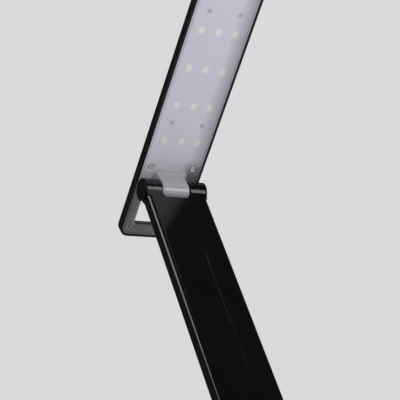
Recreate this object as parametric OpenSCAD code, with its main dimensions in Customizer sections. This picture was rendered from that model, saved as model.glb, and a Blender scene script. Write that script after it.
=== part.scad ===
// Folding LED desk lamp: base, arm and lamp head on two friction hinges.
// X runs along the hinge pins, the user sits at -Y, +Z is up and Z = 0 is the desk.
// The origin is on the desk under the middle of the base.

/* [Stance] */
// Lean of the arm back from upright
arm_lean = 37.5; // [25:0.1:45]
// Lean of the lamp head forward from upright
head_lean = 42.4; // [30:0.1:50]

/* [Arm] */
// Distance between the two hinge lines
arm_len = 230; // [215:1:245]
// Width of the arm
arm_w = 42; // [40.4:0.2:43.2]
// Front face of the arm in front of the hinge lines
arm_front = 5.2; // [4.8:0.1:5.8]
// Back face of the arm behind the hinge lines
arm_back = 4.2; // [3.6:0.1:4.8]
// Wall of the arm shell
arm_wall = 1.6; // [1.3:0.1:1.8]
// Rounding of the arm's long front edges
arm_edge_r = 2.5; // [1.5:0.1:4]
// Width of the shallow channel down the front of the arm
channel_w = 9; // [7:0.5:16]
// Depth of that channel
channel_d = 0.6; // [0.3:0.1:0.8]
// Distance from each hinge line to the channel's end
channel_end = 56; // [30:1:80]

/* [Hinges] */
// Radius of the hinge barrels
barrel_r = 7.5; // [7:0.1:8]
// Radius of the steel hinge pins
pin_r = 2.5; // [2:0.1:2.8]
// Thickness of the end caps
cap_t = 1.2; // [0.9:0.1:2]
// Width of the lamp head's hinge tongue
tongue_w = 19.5; // [18:0.5:22]
// Radius of the tongue round the hinge pin
tongue_r = 7; // [6.5:0.1:7.5]
// Depth of the arm's notch below the upper hinge line
notch_d = 10.5; // [9.5:0.1:12]
// Gap between a barrel and the panel it turns past
panel_gap = 2.8; // [2:0.1:3.6]
// Thickness of the base's two hinge ears
ear_t = 6; // [5:0.1:8]

/* [Lamp head] */
// Width of the lamp head
head_w = 44.8; // [43.6:0.1:47]
// Thickness of the lamp head
head_t = 6.6; // [5.9:0.1:7]
// Length of the head past the arm's lower hinge when it is folded
head_over = 2; // [0:0.5:4]
// Length of the handle loop past the hinge line
handle_len = 44.2; // [42:0.2:50]
// Width of the handle's side bars with the rim
handle_side = 8.5; // [7.8:0.1:9.5]
// Height of the handle's lower bar with the rim
handle_foot = 9.2; // [9:0.1:12]
// Rounding of the head's corners
head_corner_r = 6.5; // [4:0.1:8]
// Width of the rim round the front cover
rim_w = 1.5; // [1.3:0.1:2]
// Height of the rim above the front cover
rim_h = 0.25; // [0.1:0.05:0.4]
// Thickness of the front cover
cover_t = 1.2; // [1:0.05:1.3]
// Thickness of the back shell's floor
shell_t = 1.4; // [1.2:0.1:1.6]

/* [Lights] */
// Hinge line to the first row of lights
led_first = 32.3; // [30:0.1:36]
// Distance between rows
row_pitch = 26.8; // [20:0.2:32]
// Distance between the lights in a row
column_pitch = 11.8; // [9:0.1:13]
// Lights in a row
led_columns = 3; // [2:1:3]

/* [Base] */
// Width of the base
base_w = 100; // [96:1:120]
// Front edge of the base to the lower hinge line
base_front = 38; // [36:0.5:44]
// Height of the base's top above the desk
base_top = 19; // [18.6:0.1:22]
// Rounding of the base's corners
base_corner_r = 14; // [10:0.5:20]
// Wall of the base's top housing
base_wall = 1.8; // [1.5:0.1:2.2]
// Thickness of the steel ballast plate
ballast_t = 4; // [2:0.1:4.5]
// Thickness of the battery pack
battery_t = 7.5; // [5:0.1:8]
// Radius of the push buttons
button_r = 5; // [4:0.1:6]
// Travel of a push button
button_travel = 0.6; // [0.4:0.05:0.8]

/* [Hidden] */

// Clearances
fit_gap = 0.05;
part_gap = 0.1;
side_gap = 0.35;
swing_gap = 1;
e = 0.01;

// Hinge lines and the folded lamp
ear_r = barrel_r + swing_gap;
face_y = barrel_r + panel_gap;
head_len = arm_len + head_over;
handle_reach = norm([handle_len, face_y + head_t]);
fold_clear = 9;
base_len = base_front + arm_len - handle_reach - fold_clear;
hinge_y = base_front - base_len / 2;
hinge_z = base_top + barrel_r + swing_gap;

// Steel pins, friction washers and end caps
washer_r = tongue_r - 2;
washer_t = 1.1;
washer_seat = washer_t - 0.15;
spigot_r = barrel_r - 3;
spigot_len = 2;
cap_seat = spigot_len + 0.2;
groove_w = 0.5;
groove_d = 0.4;
ring_w = 2.6;
ring_x = arm_w / 2 - ring_w - 2 * groove_w;

// Layers of the lamp head, counted back from the hinge line
cover_y = face_y + rim_h;
cover_back = cover_y + cover_t;
head_back = face_y + head_t;
floor_y = head_back - shell_t;
chip_t = 0.6;
chip_gap = 0.15;
board_t = 1;
board_y = cover_back + chip_gap + chip_t;
board_back = board_y + board_t;
chip_w = 2.8;
chip_h = 3.5;

// Plan of the lamp head
ledge_w = 1.2;
window_w = head_w - 2 * handle_side;
window_top = -tongue_r - 2;
window_foot = -handle_len + handle_foot;
window_r = 2;
window_wall = 1.2;
window_bevel = 1.2;
border_in = 1.1;
border_w = 0.5;
border_d = 0.35;
root_r = 2.6;
head_edge_r = 1.2;

// Rows of lights and the screws of the light board
board_start = 16;
board_end = head_len - 8.3;
led_rows = 1 + floor((board_end - 2.5 - led_first) / row_pitch);
dot_x = 10.7;
standoff_r = 2.2;
small_grip = 1.8;
rib_x = 17;
rib_w = 1.2;
dot_rows = [for (i = [0 : 3 : led_rows - 2]) led_first + (i + 0.5) * row_pitch];

// Screws of the lamp head
screw_r = 0.9;
screw_head_r = 1.9;
screw_head_t = 0.6;
cover_screw_len = 3.8;
small_screw_r = 0.6;
small_head_r = 1.2;
small_head_t = 0.5;
boss_r = 2.4;
cover_screw_x = 15;
cover_screw_z = [11.6, head_len - 5.5];
handle_screw_x = head_w / 2 - 5.8;
handle_screw_z = -handle_len + 7.2;

// Bracket that joins the head to the upper pin
bracket_w = tongue_w - 2.5;
bracket_r = pin_r + 1.5;
bracket_web = 2;
bracket_t = 1.6;
bracket_y = cover_back + 0.15;
bracket_end = 14.5;
bracket_slot = 3;
bracket_screw_x = 5.2;
bracket_screw_z = 9.5;

// Inside of the arm
cavity_start = 13;
cavity_end = arm_len - 17;
cavity_front = arm_front - arm_wall;
back_plate_t = 1.4;
back_plate_y = arm_back - back_plate_t;
arm_screw_x = arm_w / 2 - 6.6;
arm_screw_z = [cavity_start + 7, arm_len / 2 - 2, cavity_end - 7];
arm_boss_r = 2.6;
stiffener_w = 20;
stiffener_t = 1;
stiffener_in = 3;
arm_screw_grip = 3.8;
channel_run = 14;
blend_run = 2;
blend_angle = 42;
blend_sink = 0.25;
lead_r = 1.2;

// Layers of the base, counted up from the desk
pad_t = 1.2;
pad_sink = 0.5;
pad_in = 5;
bottom_z = pad_t - pad_sink;
bottom_t = 2.2;
inside_z = bottom_z + bottom_t;
lip_h = 3;
lip_t = 1.4;
ceiling_z = base_top - base_wall;
ballast_side_in = 15;
ballast_front_in = 26;
ballast_rear_in = 28;
ballast_w = base_w - 2 * ballast_side_in;
ballast_y = [hinge_y + ballast_front_in, base_len / 2 - ballast_rear_in];
ballast_corner_r = 4;
ballast_screw_in = 6;
ballast_screw_x = ballast_w / 2 - ballast_screw_in;
ballast_screw_y = [ballast_y[0] + ballast_screw_in, ballast_y[1] - ballast_screw_in];
ballast_head_r = 2.2;
ballast_head_t = 1.2;
ballast_grip = 0.9;
tape_t = 0.5;
tape_in = 8;
battery_side_in = 6;
battery_end_in = 14;
battery_corner_r = 3;
battery_z = inside_z + ballast_t + tape_t;
battery_w = ballast_w - 2 * battery_side_in;
battery_y = [ballast_y[0] + battery_end_in, ballast_y[1] - battery_end_in];

// Buttons and circuit boards
button_pitch = 20;
button_x = [-button_pitch, 0, button_pitch];
button_in = 18;
button_y = -base_len / 2 + button_in;
button_rise = 0.9;
button_gap = 0.25;
flange_r = button_r + 1.3;
flange_t = 0.8;
flange_gap = 0.3;
flange_top = ceiling_z - flange_gap;
plunger_r = 1.5;
plunger_len = 0.9;
plunger_z = flange_top - flange_t - plunger_len;
stem_top = plunger_z - button_travel - flange_gap;
stem_r = 1.6;
stem_h = 0.8;
switch_side = 6;
switch_h = 3.5;
pcb_t = 1.6;
main_board_z = stem_top - stem_h - switch_h - pcb_t;
main_board_w = 66;
main_board_front_in = 6.5;
main_board_behind = 18;
main_board_y = [-base_len / 2 + main_board_front_in, hinge_y + main_board_behind];
pcb_screw_in = 4;
pcb_grip = 2;
pcb_boss_r = 2.8;
main_screw_x = main_board_w / 2 - pcb_screw_in;
main_screw_y = [main_board_y[0] + pcb_screw_in, main_board_y[1] - pcb_screw_in];
driver_side = 7;
driver_h = 1;
coil_side = 8;
coil_h = 3;
pipe_x = -button_pitch - 9;
pipe_r = 1.2;
socket_w = 8.94;
socket_h = 3.26;
socket_len = 7.3;
socket_wall = 0.3;
socket_back = 1;
socket_gap = 0.3;
socket_z = 9;
socket_sink = 0.6;
socket_y = base_len / 2 - socket_sink;
contact_w = 6.6;
contact_t = 0.7;
contact_len = 4.9;
charge_board_z = socket_z - socket_h / 2 - pcb_t;
charge_board_w = 26;
charge_board_len = 18;
charge_board_end = base_len / 2 - base_wall - lip_t - 2 * part_gap;
charge_board_y = [charge_board_end - charge_board_len, charge_board_end];
charge_screw_x = charge_board_w / 2 - pcb_screw_in;
charge_screw_y = charge_board_y[0] + pcb_screw_in;
base_screw_in = 10;
base_screw_x = base_w / 2 - base_screw_in;
base_screw_y = [-1, 0, 1] * (base_len / 2 - base_screw_in);
base_boss_r = 3.2;
base_screw_r = 1.2;
base_screw_head_r = 2.2;
base_screw_grip = 5.5;

// The base lead rises inside the left ear
lead_gap = 0.3;
lead_x = -(arm_w / 2 + side_gap + ear_t / 2 - 2 * lead_gap);
ear_foot = 5;
top_edge_r = 2.6;

$fn = 64;
edge_fn = 32;

// Places and basic shapes

module in_arm() {
    translate([0, hinge_y, hinge_z])
        rotate([-arm_lean, 0, 0])
            children();
}

module in_head() {
    in_arm()
        translate([0, 0, arm_len])
            rotate([arm_lean + head_lean, 0, 0])
                children();
}

module both_sides() {
    children();
    mirror([1, 0, 0])
        children();
}

module rounded_rect(w, l, r) {
    square([w - 2 * r, l], center = true);
    square([w, l - 2 * r], center = true);
    for (x = [-1, 1], y = [-1, 1])
        translate([x * (w / 2 - r), y * (l / 2 - r)])
            circle(r);
}

module rounded_plate(w, l, h, r) {
    linear_extrude(h)
        rounded_rect(w, l, r);
}

// Extrudes a plan drawn in X and Z from y0 back to y1
module slab(y0, y1) {
    translate([0, y0, 0])
        rotate([90, 0, 0])
            mirror([0, 0, 1])
                linear_extrude(y1 - y0)
                    children();
}

// Extrudes a side view drawn in Y and Z from x0 to x1
module side_profile(x0, x1) {
    translate([x0, 0, 0])
        rotate([90, 0, 90])
            linear_extrude(x1 - x0)
                children();
}

module x_cylinder(x0, x1, r) {
    translate([x0, 0, 0])
        rotate([0, 90, 0])
            cylinder(h = x1 - x0, r = r);
}

module y_cylinder(x, z, y0, y1, r) {
    translate([x, y0, z])
        rotate([-90, 0, 0])
            cylinder(h = y1 - y0, r = r);
}

// Sharp corner left between a wall and a quarter circle, for concave blends
module blend_corner(r) {
    difference() {
        square(r);
        translate([r, r])
            circle(r);
    }
}

module cross_recess(head_r, depth) {
    for (a = [0, 90])
        rotate([0, 0, a])
            translate([-0.3, -head_r * 0.62, -e])
                cube([0.6, head_r * 1.24, depth]);
}

// Round-headed screw pointing along +Z, with the outside of its head at Z = 0
module pan_screw(head_r, head_h, shank_r, length) {
    difference() {
        union() {
            cylinder(h = head_h, r = head_r);
            translate([0, 0, head_h - e])
                cylinder(h = length + e, r = shank_r);
        }
        cross_recess(head_r, head_h * 0.6);
    }
}

// Countersunk screw pointing along +Z, with its head flush at Z = 0
module flat_screw(head_r, shank_r, length) {
    sink = head_r - shank_r;
    difference() {
        union() {
            cylinder(h = sink, r1 = head_r, r2 = shank_r);
            translate([0, 0, sink - e])
                cylinder(h = length - sink + e, r = shank_r);
        }
        cross_recess(head_r, sink * 0.6);
    }
}

module flat_screw_hole(head_r, shank_r, length) {
    translate([0, 0, -e])
        cylinder(h = head_r - shank_r + part_gap + e, r1 = head_r + part_gap + e, r2 = shank_r);
    translate([0, 0, -e])
        cylinder(h = length + part_gap, r = shank_r + fit_gap);
}

// End cap of a hinge: a disc with a softened rim and a spigot, from x0 outwards
module end_cap(x0) {
    soft = 0.35;
    rotate([0, 90, 0]) {
        translate([0, 0, x0])
            cylinder(h = soft, r1 = barrel_r - soft, r2 = barrel_r);
        translate([0, 0, x0 + soft])
            cylinder(h = cap_t - 2 * soft, r = barrel_r);
        translate([0, 0, x0 + cap_t - soft])
            cylinder(h = soft, r1 = barrel_r, r2 = barrel_r - soft);
        translate([0, 0, x0 - spigot_len])
            cylinder(h = spigot_len + e, r = spigot_r - fit_gap);
    }
}

module cap_hole(x0) {
    x_cylinder(x0 - cap_seat, x0 + e, spigot_r);
}

// Base

module foot_pad() {
    color("dimgray")
        rounded_plate(base_w - 2 * pad_in, base_len - 2 * pad_in, pad_t, base_corner_r - pad_in);
}

module base_bottom_cover() {
    lip_in = base_wall + part_gap;
    color("black")
        difference() {
            union() {
                translate([0, 0, bottom_z])
                    rounded_plate(base_w, base_len, bottom_t, base_corner_r);
                translate([0, 0, inside_z])
                    difference() {
                        rounded_plate(base_w - 2 * lip_in, base_len - 2 * lip_in, lip_h,
                            base_corner_r - lip_in);
                        translate([0, 0, -e])
                            rounded_plate(base_w - 2 * (lip_in + lip_t),
                                base_len - 2 * (lip_in + lip_t), lip_h + 2 * e,
                                base_corner_r - lip_in - lip_t);
                        for (x = [-1, 1], y = base_screw_y)
                            translate([x * base_screw_x, y, -e])
                                cylinder(h = lip_h + 2 * e, r = base_boss_r + part_gap);
                    }
                for (x = [-1, 1], y = main_screw_y)
                    translate([x * main_screw_x, y, inside_z - e])
                        cylinder(h = main_board_z - inside_z + e, r = pcb_boss_r);
                for (x = [-1, 1])
                    translate([x * charge_screw_x, charge_screw_y, inside_z - e])
                        cylinder(h = charge_board_z - inside_z + e, r = pcb_boss_r);
            }
            translate([0, 0, bottom_z - e])
                rounded_plate(base_w - 2 * pad_in + 2 * part_gap, base_len - 2 * pad_in + 2 * part_gap,
                    pad_sink + e, base_corner_r - pad_in + part_gap);
            for (x = [-1, 1], y = base_screw_y)
                translate([x * base_screw_x, y, bottom_z + pad_sink])
                    flat_screw_hole(base_screw_head_r, base_screw_r, bottom_t);
            for (x = [-1, 1], y = main_screw_y)
                pcb_screw_hole(x * main_screw_x, y, main_board_z);
            for (x = [-1, 1])
                pcb_screw_hole(x * charge_screw_x, charge_screw_y, charge_board_z);
            for (x = [-1, 1], y = ballast_screw_y)
                translate([x * ballast_screw_x, y, inside_z - ballast_grip - part_gap])
                    cylinder(h = ballast_grip + part_gap + e, r = screw_r + fit_gap);
        }
}

module pcb_screw_hole(x, y, z) {
    depth = pcb_grip + part_gap;
    translate([x, y, z - depth])
        cylinder(h = depth + e, r = screw_r + fit_gap);
}

module pcb_screw(x, y, z) {
    translate([x, y, z + pcb_t + screw_head_t])
        mirror([0, 0, 1])
            pan_screw(screw_head_r, screw_head_t, screw_r, pcb_t + pcb_grip);
}

// Side view of one ear: a round top on a foot that widens to the housing
module ear_side() {
    foot = ear_r + ear_foot;
    low = base_top - base_wall / 2;
    tangent = 20;
    across = ear_r * cos(tangent);
    up = ear_r * sin(tangent);
    translate([hinge_y, hinge_z])
        circle(ear_r);
    translate([hinge_y, 0])
        polygon([[-foot, low], [foot, low], [foot, base_top], [across, hinge_z + up],
            [-across, hinge_z + up], [-foot, base_top]]);
}

// Plate whose upper edge is a quarter round, drawn as slices at growing angles
module soft_plate(w, l, h, corner_r, edge_r) {
    hull($fn = edge_fn) {
        rounded_plate(w, l, h - edge_r, corner_r);
        for (a = [22.5 : 22.5 : 90]) {
            inset = edge_r * (1 - cos(a));
            translate([0, 0, h - edge_r * (1 - sin(a)) - e])
                rounded_plate(w - 2 * inset, l - 2 * inset, e, corner_r - inset);
        }
    }
}

module base_top_housing() {
    ear_in = arm_w / 2 + side_gap;
    color([0.07, 0.07, 0.08])
        difference() {
            union() {
                difference() {
                    translate([0, 0, inside_z])
                        soft_plate(base_w, base_len, base_top - inside_z, base_corner_r, top_edge_r);
                    translate([0, 0, inside_z - e])
                        rounded_plate(base_w - 2 * base_wall, base_len - 2 * base_wall,
                            ceiling_z - inside_z + e, base_corner_r - base_wall);
                }
                for (x = [-1, 1], y = base_screw_y)
                    translate([x * base_screw_x, y, inside_z])
                        cylinder(h = ceiling_z - inside_z + e, r = base_boss_r);
                both_sides()
                    side_profile(ear_in, ear_in + ear_t)
                        ear_side();
            }
            for (x = [-1, 1], y = base_screw_y)
                translate([x * base_screw_x, y, inside_z - e])
                    cylinder(h = base_screw_grip + 1, r = base_screw_r + fit_gap);
            for (x = button_x)
                translate([x, button_y, ceiling_z - e])
                    cylinder(h = base_wall + 1, r = button_r + button_gap);
            translate([pipe_x, button_y, ceiling_z - e])
                cylinder(h = base_wall + 1, r = pipe_r + fit_gap);
            translate([0, hinge_y, hinge_z]) {
                x_cylinder(-ear_in - ear_t - 1, ear_in + ear_t + 1, pin_r + fit_gap);
                both_sides()
                    cap_hole(ear_in + ear_t);
            }
            translate([0, base_len / 2 - base_wall - e, socket_z])
                slab(0, base_wall + 1)
                    socket_outline(socket_gap);
            translate([lead_x, hinge_y, ceiling_z - e])
                cylinder(h = hinge_z - ceiling_z, r = lead_r + lead_gap);
        }
}

module ballast_plate() {
    length = ballast_y[1] - ballast_y[0];
    color("slategray")
        difference() {
            translate([0, (ballast_y[0] + ballast_y[1]) / 2, inside_z])
                rounded_plate(ballast_w, length, ballast_t, ballast_corner_r);
            for (x = [-1, 1], y = ballast_screw_y)
                translate([x * ballast_screw_x, y, inside_z - e])
                    cylinder(h = ballast_t + 2 * e, r = screw_r + fit_gap);
        }
}

module ballast_screws() {
    color("silver")
        for (x = [-1, 1], y = ballast_screw_y)
            translate([x * ballast_screw_x, y, inside_z + ballast_t + ballast_head_t])
                mirror([0, 0, 1])
                    pan_screw(ballast_head_r, ballast_head_t, screw_r, ballast_t + ballast_grip);
}

module battery_pack() {
    length = battery_y[1] - battery_y[0];
    color("lightblue")
        translate([0, (battery_y[0] + battery_y[1]) / 2, battery_z])
            rounded_plate(battery_w, length, battery_t, battery_corner_r);
}

module battery_tape() {
    color("white")
        translate([0, (battery_y[0] + battery_y[1]) / 2, inside_z + ballast_t])
            linear_extrude(tape_t)
                square([battery_w - 2 * tape_in, battery_y[1] - battery_y[0] - 2 * tape_in],
                    center = true);
}

module main_board() {
    length = main_board_y[1] - main_board_y[0];
    middle = (main_board_y[0] + main_board_y[1]) / 2;
    color("darkgreen")
        difference() {
            union() {
                translate([0, middle, main_board_z])
                    rounded_plate(main_board_w, length, pcb_t, 2);
                translate([-driver_side, middle, main_board_z + pcb_t - e])
                    cube([driver_side, driver_side, driver_h + e]);
                translate([coil_side, middle, main_board_z + pcb_t - e])
                    cube([coil_side, coil_side, coil_h + e]);
            }
            for (x = [-1, 1], y = main_screw_y)
                translate([x * main_screw_x, y, main_board_z - e])
                    cylinder(h = pcb_t + 2 * e, r = screw_r + fit_gap);
        }
}

module charging_board() {
    length = charge_board_y[1] - charge_board_y[0];
    color("darkgreen")
        difference() {
            translate([-charge_board_w / 2, charge_board_y[0], charge_board_z])
                cube([charge_board_w, length, pcb_t]);
            for (x = [-1, 1])
                translate([x * charge_screw_x, charge_screw_y, charge_board_z - e])
                    cylinder(h = pcb_t + 2 * e, r = screw_r + fit_gap);
        }
}

// Oblong of the socket's shell, drawn out by a margin
module socket_outline(margin) {
    h = socket_h + 2 * margin;
    rounded_rect(socket_w + 2 * margin, h, h / 2 - e);
}

module charging_socket() {
    floor_at = socket_back - socket_len;
    color("silver")
        translate([0, socket_y, socket_z]) {
            difference() {
                slab(-socket_len, 0)
                    socket_outline(0);
                slab(floor_at, e)
                    socket_outline(-socket_wall);
            }
            translate([-contact_w / 2, floor_at - e, -contact_t / 2])
                cube([contact_w, contact_len, contact_t]);
        }
}

module circuit_board_screws() {
    color("silver") {
        for (x = [-1, 1], y = main_screw_y)
            pcb_screw(x * main_screw_x, y, main_board_z);
        for (x = [-1, 1])
            pcb_screw(x * charge_screw_x, charge_screw_y, charge_board_z);
    }
}

module tact_switches() {
    color("gainsboro")
        for (x = button_x)
            translate([x, button_y, main_board_z + pcb_t]) {
                translate([-switch_side / 2, -switch_side / 2, 0])
                    cube([switch_side, switch_side, switch_h]);
                cylinder(h = switch_h + stem_h, r = stem_r);
            }
}

// Push button: a domed cap, a flange that keeps it in, and a plunger
module push_button(x) {
    soft = 0.4;
    top = base_top + button_rise;
    translate([x, button_y, 0]) {
        translate([0, 0, top - soft])
            cylinder(h = soft, r1 = button_r, r2 = button_r - soft);
        translate([0, 0, flange_top - e])
            cylinder(h = top - soft - flange_top + e, r = button_r);
        translate([0, 0, flange_top - flange_t])
            cylinder(h = flange_t, r = flange_r);
        translate([0, 0, plunger_z])
            cylinder(h = flange_top - plunger_z - e, r = plunger_r);
    }
}

module power_button() {
    color("dimgray")
        push_button(button_x[1]);
}

module brighter_button() {
    color("dimgray")
        push_button(button_x[2]);
}

module dimmer_button() {
    color("dimgray")
        push_button(button_x[0]);
}

module charge_light_pipe() {
    color("white")
        translate([pipe_x, button_y, main_board_z + pcb_t])
            cylinder(h = base_top - main_board_z - pcb_t, r = pipe_r);
}

module base_screws() {
    color("silver")
        for (x = [-1, 1], y = base_screw_y)
            translate([x * base_screw_x, y, bottom_z + pad_sink])
                flat_screw(base_screw_head_r, base_screw_r, bottom_t - pad_sink + base_screw_grip);
}

module base_hinge_pin() {
    half = arm_w / 2 + side_gap + ear_t - cap_seat;
    color("silver")
        translate([0, hinge_y, hinge_z])
            x_cylinder(-half, half, pin_r);
}

module base_hinge_caps() {
    color("black")
        translate([0, hinge_y, hinge_z])
            both_sides()
                end_cap(arm_w / 2 + side_gap + ear_t);
}

module base_lead() {
    rise = main_board_z + pcb_t + lead_r;
    start = main_board_y[1] - pcb_screw_in;
    color("firebrick") {
        translate([lead_x, hinge_y, rise])
            cylinder(h = hinge_z - pin_r - lead_gap - rise, r = lead_r);
        translate([lead_x, hinge_y, rise])
            sphere(lead_r);
        translate([lead_x, hinge_y, rise])
            rotate([-90, 0, 0])
                cylinder(h = start - hinge_y, r = lead_r);
    }
}

// Arm

// Cross-section of the arm in X and Y, with rounded front edges
module arm_section() {
    half = arm_w / 2;
    back_r = 1;
    translate([-half + arm_edge_r, -arm_front])
        square([arm_w - 2 * arm_edge_r, arm_front]);
    translate([-half, -arm_front + arm_edge_r])
        square([arm_w, arm_front + arm_back - arm_edge_r - back_r]);
    translate([-half + back_r, 0])
        square([arm_w - 2 * back_r, arm_back]);
    for (x = [-1, 1]) {
        translate([x * (half - arm_edge_r), -arm_front + arm_edge_r])
            circle(arm_edge_r);
        translate([x * (half - back_r), arm_back - back_r])
            circle(back_r);
    }
}

// Wedges that run each barrel out into the arm's front and back faces
module barrel_blend() {
    run = barrel_r + blend_run;
    root = barrel_r - blend_sink;
    side_profile(-arm_w / 2, arm_w / 2)
        polygon([[-root * cos(blend_angle), root * sin(blend_angle)], [-arm_front + e, run],
            [arm_back - e, run], [root * cos(blend_angle), root * sin(blend_angle)]]);
}

// Groove round a barrel that stops where the barrel runs into the arm
module knuckle_groove(x0, x1) {
    reach = barrel_r + 1;
    difference() {
        x_cylinder(x0, x1, reach);
        x_cylinder(x0 - e, x1 + e, barrel_r - groove_d);
        translate([x0 - e, -reach, barrel_r / 2])
            cube([x1 - x0 + 2 * e, 2 * reach, reach]);
    }
}

module arm_front_shell() {
    notch_w = tongue_w + 2 * side_gap;
    notch_r = 2;
    color([0.07, 0.07, 0.08])
        in_arm()
            difference() {
                union() {
                    linear_extrude(arm_len)
                        arm_section();
                    x_cylinder(-arm_w / 2, arm_w / 2, barrel_r);
                    barrel_blend();
                    translate([0, 0, arm_len]) {
                        x_cylinder(-arm_w / 2, arm_w / 2, barrel_r);
                        mirror([0, 0, 1])
                            barrel_blend();
                    }
                }
                translate([0, 0, arm_len])
                    slab(-barrel_r - 1, barrel_r + 1) {
                        translate([-notch_w / 2, -notch_d + notch_r])
                            square([notch_w, notch_d + barrel_r + 1]);
                        translate([-notch_w / 2 + notch_r, -notch_d])
                            square([notch_w - 2 * notch_r, notch_d]);
                        for (x = [-1, 1])
                            translate([x * (notch_w / 2 - notch_r), -notch_d + notch_r])
                                circle(notch_r);
                    }
                translate([-arm_w / 2 + arm_wall, -cavity_front, cavity_start])
                    difference() {
                        cube([arm_w - 2 * arm_wall, cavity_front + barrel_r, cavity_end - cavity_start]);
                        for (x = [-1, 1], z = arm_screw_z)
                            translate([arm_w / 2 - arm_wall, 0, -cavity_start])
                                y_cylinder(x * arm_screw_x, z, -e, back_plate_y + cavity_front,
                                    arm_boss_r);
                    }
                for (x = [-1, 1], z = arm_screw_z)
                    y_cylinder(x * arm_screw_x, z, back_plate_y - arm_screw_grip - part_gap,
                        back_plate_y + e, screw_r + fit_gap);
                channel();
                arm_lead_path(lead_r + 0.2, 0);
                hinge_bores();
                translate([0, 0, arm_len])
                    hinge_bores();
                both_sides() {
                    x_cylinder(arm_w / 2 - washer_seat, arm_w / 2 + e, washer_r + part_gap);
                    translate([0, 0, arm_len]) {
                        x_cylinder(tongue_w / 2, tongue_w / 2 + side_gap + washer_seat,
                            washer_r + part_gap);
                        cap_hole(arm_w / 2);
                        mirror([0, 0, 1]) {
                            knuckle_groove(arm_w / 2 - groove_w, arm_w / 2 + e);
                            knuckle_groove(ring_x, ring_x + groove_w);
                        }
                    }
                }
            }
}

// Shallow channel that runs out to nothing at both ends
module channel() {
    deep = channel_end + channel_run;
    side_profile(-channel_w / 2, channel_w / 2)
        translate([-arm_front, 0])
            polygon([[-e, channel_end], [channel_d, deep], [channel_d, arm_len - deep],
                [-e, arm_len - channel_end]]);
}

module hinge_bores() {
    x_cylinder(-arm_w / 2 - 1, arm_w / 2 + 1, pin_r + fit_gap);
}

// The lead lies on the stiffener and reaches into both barrels beside the pins
module arm_lead_path(r, short) {
    near = pin_r + lead_gap + short;
    translate([0, -cavity_front + stiffener_t + lead_r, near])
        cylinder(h = arm_len - notch_d - lead_gap - 2 * short - near, r = r);
}

module arm_back_cover() {
    color([0.07, 0.07, 0.08])
        in_arm()
            difference() {
                slab(back_plate_y, arm_back)
                    translate([0, (cavity_start + cavity_end) / 2])
                        square([arm_w - 2 * arm_wall - 2 * part_gap,
                            cavity_end - cavity_start - 2 * part_gap], center = true);
                for (x = [-1, 1], z = arm_screw_z)
                    translate([x * arm_screw_x, arm_back, z])
                        rotate([90, 0, 0])
                            flat_screw_hole(screw_head_r, screw_r, back_plate_t);
            }
}

module arm_screws() {
    color("dimgray")
        in_arm()
            for (x = [-1, 1], z = arm_screw_z)
                translate([x * arm_screw_x, arm_back, z])
                    rotate([90, 0, 0])
                        flat_screw(screw_head_r, screw_r, back_plate_t + arm_screw_grip);
}

module arm_stiffener() {
    color("silver")
        in_arm()
            translate([-stiffener_w / 2, -cavity_front, cavity_start + stiffener_in])
                cube([stiffener_w, stiffener_t, cavity_end - cavity_start - 2 * stiffener_in]);
}

module arm_lead() {
    color("firebrick")
        in_arm()
            arm_lead_path(lead_r, lead_gap);
}

module friction_washer(x0) {
    difference() {
        x_cylinder(x0, x0 + washer_t, washer_r);
        x_cylinder(x0 - e, x0 + washer_t + e, pin_r + part_gap);
    }
}

module base_hinge_washers() {
    color("gold")
        in_arm()
            both_sides()
                friction_washer(arm_w / 2 - washer_seat);
}

module head_hinge_pin() {
    half = arm_w / 2 - cap_seat;
    color("silver")
        in_arm()
            translate([0, 0, arm_len])
                x_cylinder(-half, half, pin_r);
}

module head_hinge_washers() {
    color("gold")
        in_arm()
            translate([0, 0, arm_len])
                both_sides()
                    friction_washer(tongue_w / 2 + side_gap + washer_seat - washer_t);
}

module head_hinge_caps() {
    color("black")
        in_arm()
            translate([0, 0, arm_len])
                both_sides()
                    end_cap(arm_w / 2);
}

// Lamp head

// Plan of the head in X and Z, drawn in by a margin on every side
module head_plan(margin) {
    r = max(head_corner_r - margin, 0.5);
    translate([0, (head_len - handle_len) / 2])
        rounded_rect(head_w - 2 * margin, head_len + handle_len - 2 * margin, r);
}

module window_plan(margin) {
    middle = (window_top + window_foot) / 2;
    translate([0, middle])
        rounded_rect(window_w + 2 * margin, window_top - window_foot + 2 * margin,
            window_r + margin);
}

// Plan of the bracket's flange in X and Z
module bracket_plan(margin) {
    translate([0, (bracket_end - bracket_r) / 2])
        square([bracket_w + 2 * margin, bracket_end + bracket_r + 2 * margin], center = true);
}

// Outside of the head, with its back edge a quarter round drawn as slices
module head_outside() {
    hull($fn = edge_fn) {
        slab(face_y, head_back - head_edge_r)
            head_plan(0);
        for (a = [22.5 : 22.5 : 90]) {
            y = head_back - head_edge_r * (1 - sin(a));
            slab(y - e, y)
                head_plan(head_edge_r * (1 - cos(a)));
        }
    }
}

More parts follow.
